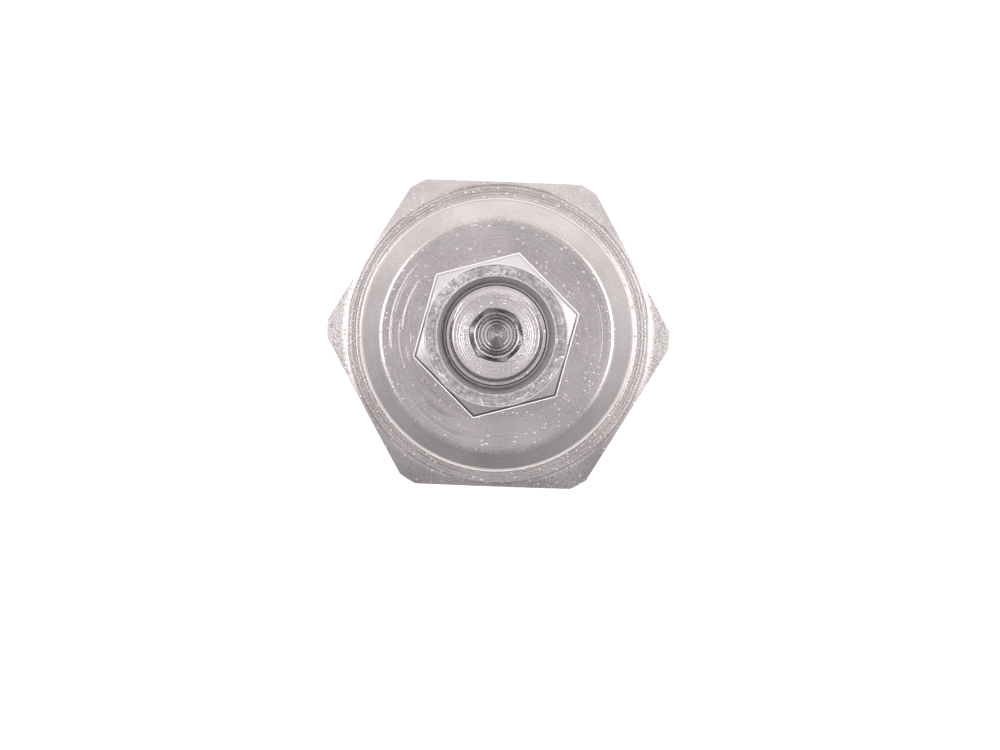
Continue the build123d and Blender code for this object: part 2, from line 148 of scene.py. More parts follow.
# Screw
SCREW_FACE_R = 3.45 * MM
TIP_R = 2.7 * MM
TIP_LENGTH = 1.6 * MM
SOCKET_FLATS = 4.0 * MM
SOCKET_DEPTH = 4.2 * MM
SOCKET_TURN = math.radians(48.7)
DRILL_R = 1.7 * MM
DRILL_DEPTH = 5.0 * MM
DRILL_SLOPE = 1 / math.tan(math.radians(59))
SOCKET_CORNER_R = 2.23 * MM   # the corners are worn round
SOCKET_FOOT = 0.14 * MM       # height of the bevel at the foot of the socket's walls
MOUTH_R = 2.19 * MM
MOUTH_SLOPE = 0.95
SCREW_STEPS = 360

# Step round the drilled hole in the socket's floor as (distance outside the hole, fall) in mm
LEDGE = ((0.13, 0.0), (0.08, 0.015), (0.01, 0.035), (0.0, 0.075))

# The thread's groove where it crosses the chamfer of the screw's end: the azimuths in degrees
# between which it does so, its radius at both, and its section as (distance out in mm, share of
# the depth). It fades in over a tenth of the span and out over a quarter.
GROOVE_SPAN = (146.0, 425.0)
GROOVE_R = (3.52 * MM, 3.47 * MM)
GROOVE_DEPTH = 0.22 * MM
GROOVE_SECTION = ((0.0, 0.0), (0.05, 1.0), (0.1, 1.0), (0.18, 0.6), (0.25, 0.0))
GROOVE_FADES = (10, 4)

# The chamfer of the screw's end: its foot, and its slopes inside and outside CHAMFER_BREAK_R
SCREW_CHAMFER_LOW = screw_high.z - (SCREW_R - SCREW_FACE_R)
CHAMFER_BREAK_R = 3.72 * MM
END_SLOPES = (0.72, 0.14)

# Rings on the screw's end as (radius, half width, depth) in mm, and on the drilled hole's cone as
# (radius, half width). The cone's are flat at the left and the right, and weaker in between, by
# CONE_MEAN plus or minus CONE_SWING.
SCREW_RINGS = ((2.34, 0.04, 0.016), (2.49, 0.035, 0.014), (2.63, 0.035, 0.014), (2.78, 0.04, 0.016),
               (2.95, 0.05, 0.022), (3.16, 0.03, 0.012))
CONE_RINGS = ((0.24, 0.03), (0.41, 0.045), (0.66, 0.035), (0.93, 0.06), (1.22, 0.065), (1.47, 0.035))
CONE_FLAT_R = 0.12 * MM
CONE_STEPS = 72
FACE_STEPS = 56
CONE_MEAN = 0.7
CONE_SWING = 0.3

# Nicks on the boss's face and the nut's face, as the photograph shows them: (radius, azimuth in
# degrees, half length round, half width, depth) in mm
NICK_NOISE = 5000             # waves per metre of their rough ground
FACE_NICKS = [(8.6, -46.6, 0.2, 0.13, 0.05), (9.0, 118.0, 0.12, 0.1, 0.03),
              (8.3, 152.0, 0.12, 0.08, 0.03), (7.9, -98.0, 0.1, 0.08, 0.03)]
NUT_NICKS = [(5.02, 103.5, 0.2, 0.06, 0.03), (4.97, 99.5, 0.25, 0.09, 0.035),
             (5.08, 97.0, 0.12, 0.12, 0.03), (4.98, 93.5, 0.3, 0.1, 0.035),
             (5.06, 90.0, 0.14, 0.13, 0.03), (5.0, 87.0, 0.22, 0.08, 0.035),
             (5.1, 85.0, 0.11, 0.2, 0.035), (5.24, 83.6, 0.08, 0.16, 0.03),
             (5.9, -55.7, 0.3, 0.1, 0.05), (5.6, -15.7, 0.12, 0.14, 0.05),
             (5.1, 203.0, 0.1, 0.2, 0.03), (5.3, 75.0, 0.1, 0.12, 0.03),
             (5.3, 71.0, 0.1, 0.1, 0.03), (5.3, 221.0, 0.6, 0.06, 0.03),
             (5.45, 216.0, 0.5, 0.06, 0.03), (5.5, 136.0, 0.12, 0.3, 0.03),
             (5.35, 292.0, 0.3, 0.1, 0.03), (5.2, 318.0, 0.2, 0.12, 0.03)]

# Studio: the surround's level straight above and its rise towards the photograph's top and right,
# and two softboxes, given by their direction's share along an axis
SURROUND = (0.69, 0.36, 0.02)
SOFTBOX_LEVEL = 1.8
SOFTBOX_LEAN = 0.35           # by which the left softbox is brighter and the right one weaker
SOFTBOX_SHIFT = 0.07          # by which both stand above the middle
SOFTBOX_SIDES = (0.22, 0.40)
SOFTBOX_FOOT = (0.47, 0.57)
SOFTBOX_TOP = (0.84, 0.90)
SOFTBOX_TILT = 0.07           # by which the top of the right one is higher
STUDIO_TINT = (1.0, 0.985, 0.985, 1.0)
GLOW = 0.45
GLOW_FADE = (0.09, 0.20)      # distance from the axis over which the floor's glow fades
FLOOR_HALF = 3.0
FLOOR_DROP = 0.05 * MM        # by which the floor lies below the nose

# Materials. Bump heights: UNIT_SLOPE over a noise's scale, in waves per metre, gives a slope of about 1
UNIT_SLOPE = 0.53
FINE_LINES = 8000.0
BROAD_LINES = 2600.0
GRAIN_SCALE = 6500.0
SPECK_SCALE = 2600.0
PATCH_SCALE = 260.0
WANDER_SCALE = 250.0
WANDER = 0.08 * MM            # by which the turned lines wander
LINE_RISE = 1.7               # how fast the lines follow on walls, against flat faces
MOTTLE_BY_GRAIN = 14.0        # how strongly a grainy place is mottled in colour too

# Places of the materials' regions: where the boss's sloped rim starts, how far to the sides the
# hexagon's tips reach, and the rough patch at one corner
RIM_FROM_R = FACE_EDGE_R + 0.55 * MM
TIP_SIDES = (5.5 * MM, 7.5 * MM)
PATCH_AT = (5.6 * MM, -11.5 * MM)
PATCH_FADE = (1.0 * MM, 2.2 * MM)

# Heights over which the masks of the materials' regions set in
RIM_HEIGHTS = (HEX_TOP + 8 * MM, HEX_TOP + 9 * MM)
FACE_HEIGHTS = (HEX_TOP + 11 * MM, HEX_TOP + 11.5 * MM)
TIP_HEIGHTS = (HEX_TOP - 2 * MM, HEX_TOP - 1.8 * MM)
END_HEIGHTS = (screw_high.z - 0.8 * MM, screw_high.z - 0.7 * MM)
WALL_HEIGHTS = (screw_high.z - 0.9 * MM, screw_high.z - 0.8 * MM)
CONE_HEIGHTS = (screw_high.z - 4.4 * MM, screw_high.z - 4.0 * MM)
NUT_RIM_HEIGHTS = (nut_high.z - 0.2 * MM, nut_high.z - 0.1 * MM)
NUT_TOP_HEIGHTS = (nut_high.z - 1.2 * MM, nut_high.z - 1.1 * MM)

# Zinc of the nut
NUT_MOTTLE_SCALE = 2400.0
NUT_MOTTLE_SLOPE = 0.16
NUT_GRAIN_SLOPE = 0.08
NUT_PATCH_SCALE = 500.0
NUT_RING_SCALE = 4500.0
NUT_SPECK_SCALE = 3600.0
NUT_SCRATCHES = ((12, 6000.0), (48, 5000.0), (101, 7000.0), (150, 5500.0))   # degrees, scale across
SCRATCH_SCALE = 900.0         # along a scratch
SCRATCH_SLOPE_SCALE = 5500.0
# Colour of the painted shade line inside the nut's outline
NUT_PAINTED_SHADE_TONE = (0.2, 0.185, 0.195)
# Colour of the painted highlight on the nut's rims and outline, also the bright tone of its nicks
NUT_HIGHLIGHT_AND_NICK_TONE = (1.0, 0.97, 0.99)

# Rubber and plastic
SOFT_PATCH_SCALE = 700.0
SOFT_GRAIN_SCALE = 2600.0
MICRON = MM / 1000

# Camera: where the hexagon's top face lies in the photograph, in its 1000 x 750 pixels
IMAGE_SIZE = (1000, 750)
HEX_PIXEL = (498.05, 334.2)
HEX_PIXELS_PER_M = 305.5 / HEX_FLATS
HEX_ROLL = math.radians(-2.1)
CAMERA_DISTANCE = 0.47
CAMERA_LEAN = (math.radians(0.52), math.radians(0.324))
SENSOR = 36.0
CLIP = (0.1, 20.0)


def turn_steps(count, extra=()):
    """Angles round the axis, with some extra ones where an edge runs."""
    steps = [TAU * i / count for i in range(count)]
    return sorted(set(round(angle % TAU, 7) for angle in steps + list(extra)))


def hex_radius(angle, flats, corner_r, turn=0.0):
    """Reach of a hexagon with a corner at the angle turn, its corners turned to corner_r."""
    off = (angle - turn) % (TAU / 6) - TAU / 12
    return min(flats / 2 / math.cos(off), corner_r)


def corner_angles(flats, corner_r, turn=0.0, bevel=0.004):
    """Angles just beside each upright edge of a hexagon, which leave a fine bevel. The bevel is in
    radians to each side."""
    half = TAU / 12 - math.acos(min(1.0, flats / 2 / corner_r))
    found = []
    for i in range(6):
        for side in (-1, 1):
            edge = turn + i * TAU / 6 + side * half
            found += [edge - bevel, edge + bevel]
    return found


def make_object(name, bm, smooth_deg=28.0):
    """Links a mesh as an object, smooth except at edges sharper than smooth_deg."""
    bmesh.ops.recalc_face_normals(bm, faces=bm.faces)
    limit = math.radians(smooth_deg)
    for face in bm.faces:
        face.smooth = True
    for edge in bm.edges:
        edge.smooth = len(edge.link_faces) == 2 and edge.calc_face_angle(0.0) < limit
    mesh = bpy.data.meshes.new(name)
    bm.to_mesh(mesh)
    bm.free()
    obj = bpy.data.objects.new(name, mesh)
    bpy.context.scene.collection.objects.link(obj)
    return obj


def polar_mesh(outline, angles, closed=True, bm=None):
    """A mesh turned from outline(angle), a list of (radius, height) that may change with the angle.
    It is added to bm where that is given."""
    bm = bmesh.new() if bm is None else bm
    columns = []
    for angle in angles:
        cos, sin = math.cos(angle), math.sin(angle)
        columns.append([bm.verts.new((r * cos, r * sin, z)) for r, z in outline(angle)])
    rows = len(columns[0])
    for i, column in enumerate(columns):
        after = columns[(i + 1) % len(columns)]
        for j in range(rows if closed else rows - 1):
            k = (j + 1) % rows
            bm.faces.new((column[j], after[j], after[k], column[k]))
    return bm


def spread(start, end, count):
    """Points from start to end, both included, as (radius, height)."""
    return [(start[0] + (end[0] - start[0]) * i / count, start[1] + (end[1] - start[1]) * i / count)
            for i in range(count + 1)]


def falling(start, steps):
    """Points after start, each further out by a step's width in mm and lower by its slope in degrees."""
    r, z = start
    points = []
    for width, degrees in steps:
        r, z = r + width * MM, z - width * MM * math.tan(math.radians(degrees))
        points.append((r, z))
    return points


def thread_radius(thread, angle, z, fade=1.0):
    """Radius of a right-hand 60 degree thread at a point; fade makes it shallower."""
    major, pitch, depth = thread
    root, crest = thread_flats(thread)
    phase = abs((z / pitch - angle / TAU + 0.5) % 1.0 - 0.5)
    share = min(1.0, max(0.0, (phase - root) / (0.5 - root - crest)))
    return major - depth * (1 - share) * fade


def thread_flats(thread):
    """Half widths of the root's and the crest's flats, as shares of the pitch."""
    pitch, depth = thread[1:]
    return 0.5 - CREST - depth * math.tan(TAU / 12) / pitch, CREST


def add_thread(bm, thread, blank, low, high, angles):
    """A helical wall from low to high. blank(z) gives the blank's radius and the thread's fade."""
    pitch = thread[1]
    root, crest = thread_flats(thread)
    flank = 0.5 - crest - root
    half = [0.0, root, root + flank / 3, root + 2 * flank / 3, 0.5 - crest]
    phases = half + [1 - p for p in reversed(half[1:])]
    first, last = math.floor(low / pitch) - 1, math.ceil(high / pitch)
    columns = []
    for angle in angles:
        column = []
        for turn in range(first, last + 1):
            for phase in phases:
                z = min(max((turn + phase + angle / TAU) * pitch, low), high)
                blank_r, fade = blank(z)
                r = min(thread_radius(thread, angle, z, fade), blank_r)
                column.append(bm.verts.new((r * math.cos(angle), r * math.sin(angle), z)))
        columns.append(column)
    top = len(columns[0]) - 1
    for i, column in enumerate(columns):
        shift = len(phases) if i == len(columns) - 1 else 0
        after = columns[(i + 1) % len(columns)]
        for j in range(top):
            low_after, high_after = min(j + shift, top), min(j + 1 + shift, top)
            if low_after < high_after:
                bm.faces.new((column[j], after[low_after], after[high_after], column[j + 1]))
            else:
                bm.faces.new((column[j], after[top], column[j + 1]))


def weld(bm):
    """Merges the vertices that coincide."""
    bmesh.ops.remove_doubles(bm, verts=bm.verts, dist=WELD)
    return bm


def dent(x, y, nicks):
    """Depth of the surface below its plane at a point, from small nicks."""
    total = 0.0
    r, degrees = math.hypot(x, y) / MM, math.degrees(math.atan2(y, x))
    for nick_r, nick_degrees, along, across, deep in nicks:
        off_round = math.radians((degrees - nick_degrees + 180) % 360 - 180) * nick_r / along
        off = math.hypot(off_round, (r - nick_r) / across)
        if off < 1:
            rough = 0.7 + 0.6 * noise.noise(Vector((x, y, 0)) * NICK_NOISE)
            total += deep * MM * (1 - off * off) * rough
    return total


def press_nicks(bm, low, high, nicks):
    """Sinks vertices that lie between the heights low and high by the nicks' depth."""
    for v in bm.verts:
        if low <= v.co.z <= high:
            v.co.z -= dent(v.co.x, v.co.y, nicks)


def turning_marks():
    """Arcs that the tool left on the boss's face. Most lie on the left, as in the photograph."""
    marks = list(RIGHT_MARKS)
    for i in range(LEFT_MARK_COUNT):
        row = 16 + round(40 * (i * 0.618 % 1.0))
        middle = 160 + 80 * (i * 0.755 % 1.0)
        span = 9 + 26 * (i * 0.37 % 1.0)
        marks.append((row, middle, span, 0.35 + 0.65 * (i * 0.23 % 1.0)))
    return marks


def mark_depth(row, degrees, marks):
    """Depth of the turning marks at a row of the face and an azimuth."""
    deepest = 0.0
    for mark_row, middle, span, share in marks:
        off = abs((degrees - middle + 180) % 360 - 180) / span
        if row == mark_row and off < 1:
            deepest = max(deepest, MARK_DEPTH * share * min(1.0, 3 * (1 - off)))
    return deepest


def chamfer_drop(r):
    """Fall of the hexagon's chamfer from its face to the radius r."""
    blend = min(max(r - TIP_START_R, 0.0), TIP_BLEND)
    steep = blend * blend / (2 * TIP_BLEND) + max(0.0, r - TIP_START_R - TIP_BLEND)
    inner_slope, tip_slope = CHAMFER_SLOPES
    return (r - HEX_FACE_R) * inner_slope + steep * (tip_slope - inner_slope)


def skirt_blank(z):
    """Radius of the skirt's blank and the thread's fade at a height."""
    return SKIRT_THREAD[0] - SKIRT_LEAD + max(0.0, z - body_low.z), 1.0


def build_body():
    """Hexagon, boss and threaded skirt with the spring chamber inside."""
    boss_top, skirt_low = body_high.z, body_low.z
    chamber_top = pad_high + HEADROOM
    groove_low = seat_z - SEAL_GROOVE
    marks = turning_marks()
    row_count = round((FACE_EDGE_R - FACE_ROWS_FROM) / FACE_ROW)
    rim = falling((FACE_EDGE_R, boss_top), FACE_EDGE_STEPS)
    slope = math.tan(math.radians(BOSS_DEG))
    rim_low = boss_top - BOSS_RIM * slope
    rim += spread(rim[-1], (BOSS_R - BOSS_EDGE, rim_low + BOSS_EDGE * slope), RIM_ROWS)[1:]
    foot = [(BOSS_R + FOOT_WIDTH * (1 - math.sin(turn)), HEX_TOP + FOOT_HEIGHT * (1 - math.cos(turn)))
            for turn in map(math.radians, FOOT_TURNS)]
    ring_edge = [(HEX_FACE_R + out * MM, HEX_TOP - fall * MM) for out, fall in RING_EDGE]

    def outline(angle):
        reach = hex_radius(angle, HEX_FLATS, HEX_CORNER_R)
        drop = chamfer_drop(reach)
        degrees = math.degrees(angle)
        face = [(FACE_ROWS_FROM + i * FACE_ROW, boss_top - mark_depth(i, degrees, marks))
                for i in range(row_count)]
        wave = WAVE_MEAN - WAVE_SWING * math.cos(angle + WAVE_TURN)
        ring_waves = [(BOSS_R + FOOT_WIDTH + out * MM, HEX_TOP - deep * wave * MM)
                      for out, deep in RING_WAVES]
        chamfer_from = HEX_FACE_R + RING_BURR
        chamfer = []
        for i in range(1, CHAMFER_ROWS + 1):
            r = chamfer_from + (reach - EDGE / 2 - chamfer_from) * i / CHAMFER_ROWS
            chamfer.append((r, HEX_TOP - chamfer_drop(r)))
        return (
            [(min(thread_radius(SKIRT_THREAD, angle, skirt_low), skirt_blank(skirt_low)[0]), skirt_low),
             (NECK_R + 2 * EDGE, skirt_low), (NECK_R, skirt_low + 2 * EDGE), (NECK_R, sleeve_top),
             (CHAMBER_R, sleeve_top), (CHAMBER_R, chamber_top), (HOLE_R, chamber_top),
             (HOLE_R, boss_top - EDGE)]
            + spread((HOLE_R + EDGE, boss_top), (FACE_ROWS_FROM - FACE_ROW, boss_top), 3)
            + face + [(FACE_EDGE_R, boss_top)] + rim
            + [(BOSS_R, rim_low - BOSS_EDGE_FALL)] + foot + ring_waves + ring_edge + chamfer
            + [(reach, HEX_TOP - drop - EDGE), (reach, seat_z + drop + EDGE),
               (reach - EDGE, seat_z + drop - EDGE * HEX_SLOPE), (HEX_FACE_R, seat_z),
               (SEAL_ROOT_R, seat_z), (SEAL_ROOT_R, groove_low),
               (thread_radius(SKIRT_THREAD, angle, groove_low), groove_low)])

    angles = turn_steps(BODY_STEPS, corner_angles(HEX_FLATS, HEX_CORNER_R))
    bm = polar_mesh(outline, angles, closed=False)
    add_thread(bm, SKIRT_THREAD, skirt_blank, skirt_low, groove_low, angles)
    press_nicks(bm, boss_top - 0.2 * EDGE, boss_top + EDGE, FACE_NICKS)
    return make_object("body_shell", weld(bm))


def build_nut():
    """Lock nut: hexagon with chamfers, countersunk mouth and the seal's counterbore."""
    low, high = nut_low.z, nut_high.z
    mouth_low = high - NUT_MOUTH_DEPTH

    def outline(angle):
        reach = hex_radius(angle, NUT_FLATS, NUT_CORNER_R, NUT_TURN)
        drop = (reach - NUT_FACE_R) * HEX_SLOPE
        edge_drop = NUT_EDGE * NUT_EDGE_SLOPE
        bevel_top = high - drop + NUT_EDGE * HEX_SLOPE
        return (
            [(HOLE_R, low + NUT_SEAL_HEIGHT), (HOLE_R, mouth_low - EDGE), (HOLE_R + EDGE / 2, mouth_low)]
            + spread((HOLE_R + NUT_LIP, mouth_low + NUT_LIP / 4),
                     (NUT_MOUTH_R - EDGE, high - 1.6 * EDGE), MOUTH_ROWS)
            + [(NUT_MOUTH_R - EDGE / 3, high - EDGE / 2), (NUT_MOUTH_R + EDGE / 3, high),
               (NUT_MOUTH_R + EDGE, high)]
            + spread((NUT_MOUTH_R + 1.7 * EDGE, high - NUT_BEAD),
                     (NUT_FACE_R - 1.7 * EDGE, high - NUT_BEAD), NUT_FACE_ROWS)
            + [(NUT_FACE_R - EDGE, high), (NUT_FACE_R - EDGE / 2, high), (NUT_FACE_R, high - EDGE / 3)]
            + spread((NUT_FACE_R + EDGE / 2, high - EDGE / 2 * HEX_SLOPE - EDGE / 3),
                     (reach - NUT_EDGE, bevel_top - EDGE / 3), NUT_CHAMFER_ROWS)
            + [(reach - NUT_EDGE / 2, bevel_top - edge_drop / 2), (reach, bevel_top - edge_drop),
               (reach, low + drop + EDGE),
               (reach - EDGE, low + drop - EDGE * HEX_SLOPE), (NUT_FACE_R, low),
               (NUT_SEAL_R, low), (NUT_SEAL_R, low + NUT_SEAL_HEIGHT)])

    angles = turn_steps(NUT_STEPS, corner_angles(NUT_FLATS, NUT_CORNER_R, NUT_TURN, bevel=0.003))
    bm = polar_mesh(outline, angles)
    press_nicks(bm, high - EDGE, high + EDGE, NUT_NICKS)
    return make_object("nut_shell", weld(bm))


def cone_ring(r, angle):
    """Rise of the drilled cone at its rings, each of which is flatter to the left and the right."""
    total = 0.0
    for at, half in CONE_RINGS:
        off = (r / MM - at) / half
        total -= half * MM * math.copysign(min(abs(off), max(0.0, 2 - abs(off))), off)
    return total * DRILL_SLOPE * (CONE_MEAN + CONE_SWING * math.cos(2 * angle))


def end_drop(r):
    """Fall of the screw's end from its face to the radius r."""
    steep = min(r, CHAMFER_BREAK_R) - SCREW_FACE_R
    return steep * END_SLOPES[0] + max(0.0, r - CHAMFER_BREAK_R) * END_SLOPES[1]


def screw_blank(z):
    """Radius of the screw's blank and its thread's fade at a height."""
    return SCREW_R, min(1.0, max(0.0, (SCREW_CHAMFER_LOW - z) / FADE_LENGTH))


def build_screw():
    """Set screw: threaded shank, turned tip, and the broached socket over its drilled hole."""
    low, high = screw_low.z, screw_high.z
    root = SCREW_THREAD[0] - SCREW_THREAD[2]
    tip_z = low + TIP_LENGTH
    thread_low = tip_z + root - TIP_R
    drill_low = high - DRILL_DEPTH

    def groove(angle):
        """Radius and depth of the thread's groove where it crosses the end's chamfer."""
        start, end = GROOVE_SPAN
        share = (math.degrees(angle) - start) % 360 / (end - start)
        if share > 1:
            return GROOVE_R[1], 0.0
        r = GROOVE_R[0] + (GROOVE_R[1] - GROOVE_R[0]) * share
        return r, GROOVE_DEPTH * min(1.0, GROOVE_FADES[0] * share, GROOVE_FADES[1] * (1 - share))

    def end_chamfer(angle):
        """The screw's end outside its face, with the thread's groove across it."""
        groove_r, deep = groove(angle)
        points = [(groove_r + out * MM, share * deep) for out, share in GROOVE_SECTION]
        return ([(SCREW_FACE_R, high - EDGE / 4)]
                + [(r, high - end_drop(r) - sunk) for r, sunk in points]
                + [(SCREW_R - 2 * EDGE, high - end_drop(SCREW_R - 2 * EDGE)),
                   (SCREW_R - EDGE / 4, high - end_drop(SCREW_R)), (SCREW_R, SCREW_CHAMFER_LOW)])

    def face(inner_r):
        """The screw's end face with its turned rings."""
        rows = []
        for i in range(FACE_STEPS + 1):
            r = inner_r + EDGE / 2 + (SCREW_FACE_R - inner_r - EDGE) * i / FACE_STEPS
            sunk = sum(deep * MM * max(0.0, 1 - abs(r / MM - at) / half) for at, half, deep in SCREW_RINGS)
            rows.append((r, high - sunk))
        return rows

    def cone(angle):
        """The drilled hole's cone down to its middle."""
        points = []
        for i in range(CONE_STEPS + 1):
            r = DRILL_R * (1 - i / CONE_STEPS)
            fall = (DRILL_R - max(r, CONE_FLAT_R)) * DRILL_SLOPE
            points.append((r, drill_low - fall + cone_ring(r, angle)))
        return points

    def tip(angle):
        """The turned tip below the thread."""
        return [(thread_radius(SCREW_THREAD, angle, thread_low), thread_low),
                (TIP_R, tip_z), (TIP_R, low + EDGE), (TIP_R - EDGE, low), (0.0, low)]

    def end(angle):
        """The end from the thread's top over its chamfer and face and down the socket."""
        wall = hex_radius(angle, SOCKET_FLATS, SOCKET_CORNER_R, SOCKET_TURN)
        mouth = max(MOUTH_R, wall + EDGE / 2)
        mouth_low = high - (mouth - wall) * MOUTH_SLOPE
        floor = high - SOCKET_DEPTH
        return (
            list(reversed(end_chamfer(angle))) + list(reversed(face(mouth)))
            + [(mouth, high - EDGE / 4), (wall + EDGE / 4, mouth_low - EDGE / 4), (wall, mouth_low - EDGE),
               (wall, floor + SOCKET_FOOT)]
            + [(DRILL_R + out * MM, floor - fall * MM) for out, fall in LEDGE]
            + cone(angle))

    corners = corner_angles(SOCKET_FLATS, SOCKET_CORNER_R, SOCKET_TURN, bevel=0.01)
    angles = turn_steps(SCREW_STEPS, corners)
    bm = polar_mesh(tip, angles, closed=False)
    polar_mesh(end, angles, closed=False, bm=bm)
    add_thread(bm, SCREW_THREAD, screw_blank, thread_low, SCREW_CHAMFER_LOW, angles)
    return make_object("screw_shell", weld(bm))


class Nodes:
    """Builds the nodes of a material or world: each call adds some and returns an output."""

    def __init__(self, owner):
        self.owner = owner
        owner.use_nodes = True
        self.tree = owner.node_tree
        self.tree.nodes.clear()

    def node(self, kind, inputs=None, **settings):
        made = self.tree.nodes.new(kind)
        for key, value in settings.items():
            setattr(made, key, value)
        for key, value in (inputs or {}).items():
            if isinstance(value, bpy.types.NodeSocket):
                self.tree.links.new(value, made.inputs[key])
            else:
                made.inputs[key].default_value = value
        return made

    def math(self, operation, a, b=0.0, c=0.0):
        return self.node("ShaderNodeMath", {0: a, 1: b, 2: c}, operation=operation).outputs[0]

    def position(self):
        return self.node("ShaderNodeTexCoord").outputs["Object"]

    def split(self, vector):
        return self.node("ShaderNodeSeparateXYZ", {0: vector}).outputs

    def add(self, *values):
        total = values[0]
        for value in values[1:]:
            total = self.math("ADD", total, value)
        return total

    def times(self, *values):
        total = values[0]
        for value in values[1:]:
            total = self.math("MULTIPLY", total, value)
        return total

    def reach(self, x, y):
        return self.math("SQRT", self.add(self.times(x, x), self.times(y, y)))

    def turned(self, vector, angle):
        return self.node("ShaderNodeVectorRotate", {"Vector": vector, "Angle": angle},
                         rotation_type="Z_AXIS").outputs[0]

    def noise(self, vector, scale, detail=2.0, rough=0.5):
        return self.node("ShaderNodeTexNoise", {"Vector": vector, "Scale": scale, "Detail": detail,
                                                "Roughness": rough}).outputs["Fac"]

    def line_noise(self, w, scale, detail=2.0, rough=0.6):
        return self.node("ShaderNodeTexNoise", {"W": w, "Scale": scale, "Detail": detail,
                                                "Roughness": rough},
                         noise_dimensions="1D").outputs["Fac"]

    def dots(self, vector, scale, share, size=0.3):
        """Small round dots in a share of the cells of a grid, some bright and some faint."""
        cells = self.node("ShaderNodeTexVoronoi", {"Vector": vector, "Scale": scale})
        red, green = self.node("ShaderNodeSeparateColor", {0: cells.outputs["Color"]}).outputs[:2]
        chosen = self.math("MULTIPLY", self.ramp(red, 1 - share, 1.02 - share),
                           self.ramp(green, 0.0, 1.0, 0.25, 1.0))
        return self.math("MULTIPLY", self.ramp(cells.outputs["Distance"], size / 2, size, 1.0, 0.0), chosen)

    def ramp(self, value, low, high, out_low=0.0, out_high=1.0):
        made = self.node("ShaderNodeMapRange", {"Value": value, "From Min": low, "From Max": high,
                                                "To Min": out_low, "To Max": out_high})
        return made.outputs["Result"]

    def mix(self, share, one, two):
        made = self.node("ShaderNodeMix", {0: share}, data_type="RGBA")
        for socket, value in ((made.inputs[6], one), (made.inputs[7], two)):
            if isinstance(value, bpy.types.NodeSocket):
                self.tree.links.new(value, socket)
            else:
                socket.default_value = (*value, 1.0)
        return made.outputs[2]

    def finish(self, inputs):
        shader = self.node("ShaderNodeBsdfPrincipled", inputs)
        self.node("ShaderNodeOutputMaterial", {"Surface": shader.outputs["BSDF"]})
        return self.owner


def turned_metal(name, dark, light, roughness=0.28, lines=0.05, grain=0.05, speck=0.5, regions=()):
    """Plated, turned steel: fine lines round the axis, grain, specks and patchy colour.
    lines and grain are slopes. regions are (mask, lines, grain, tint, roughness), where mask is
    a function of the nodes, the radius and the height, and the rest multiply."""
    s = Nodes(bpy.data.materials.new(name))
    at = s.position()
    x, y, z = s.split(at)
    radius = s.reach(x, y)
    wander = s.times(s.noise(at, WANDER_SCALE, 3.0), WANDER)
    along = s.add(s.math("MULTIPLY_ADD", z, LINE_RISE, radius), wander)
    line_share, grain_share, rough_share = lines, grain, 1.0
    tint = (1.0, 1.0, 1.0)
    for mask, lines_by, grain_by, tint_by, rough_by in regions:
        where = mask(s, radius, z)
        line_share = s.times(line_share, s.ramp(where, 0.0, 1.0, 1.0, lines_by))
        grain_share = s.times(grain_share, s.ramp(where, 0.0, 1.0, 1.0, grain_by))
        tint = s.mix(where, tint, tint_by)
        rough_share = s.times(rough_share, s.ramp(where, 0.0, 1.0, 1.0, rough_by))
    speck_share = s.ramp(grain_share, 0.0, grain) if regions else 1.0
    fine = s.line_noise(along, FINE_LINES, 2.0, 0.7)
    broad = s.line_noise(along, BROAD_LINES, 1.0)
    grains = s.noise(at, GRAIN_SCALE, 2.0, 0.7)
    patch = s.noise(at, PATCH_SCALE, 3.0, 0.6)
    specks = s.dots(at, SPECK_SCALE, 0.5)
    line_height = s.add(s.times(fine, UNIT_SLOPE / FINE_LINES), s.times(broad, UNIT_SLOPE / BROAD_LINES))
    grain_height = s.add(s.times(grains, 2 * UNIT_SLOPE / GRAIN_SCALE),
                         s.times(specks, 2 * UNIT_SLOPE / SPECK_SCALE))
    height = s.add(s.times(line_height, line_share), s.times(grain_height, grain_share))
    bump = s.node("ShaderNodeBump", {"Height": height, "Strength": 1.0, "Distance": 1.0})
    mottle = s.times(s.math("SUBTRACT", grains, 0.5), grain_share, MOTTLE_BY_GRAIN)
    tone = s.add(s.times(patch, 0.5), s.times(fine, 0.25), s.times(grains, 0.4))
    tone = s.add(s.ramp(tone, 0.38, 0.78), mottle, s.times(specks, speck, speck_share))
    colour = s.mix(tone, dark, light)
    if regions:
        colour = s.node("ShaderNodeVectorMath", {0: colour, 1: tint}, operation="MULTIPLY").outputs[0]
    rough = s.ramp(s.add(patch, grains), 0.7, 1.3, roughness - 0.05, roughness + 0.07)
    return s.finish({"Base Color": colour, "Metallic": 1.0, "Roughness": s.times(rough, rough_share),
                     "Normal": bump.outputs[0]})


def between(s, value, low, high, soft=0.04 * MM):
    """Mask that is 1 where a length lies between low and high."""
    return s.times(s.ramp(value, low - soft, low + soft),
                   s.ramp(value, high - soft, high + soft, 1.0, 0.0))


def boss_rim(s, radius, z):
    """The boss's sloped rim."""
    return s.times(between(s, radius, RIM_FROM_R, BOSS_R + 0.1 * MM), s.ramp(z, *RIM_HEIGHTS))


def hex_face(s, radius, z):
    """The turned ring of the hexagon's face."""
    return s.times(between(s, radius, BOSS_R + 0.2 * MM, HEX_FACE_R),
                   between(s, z, HEX_TOP - 0.3 * MM, HEX_TOP + 0.4 * MM))


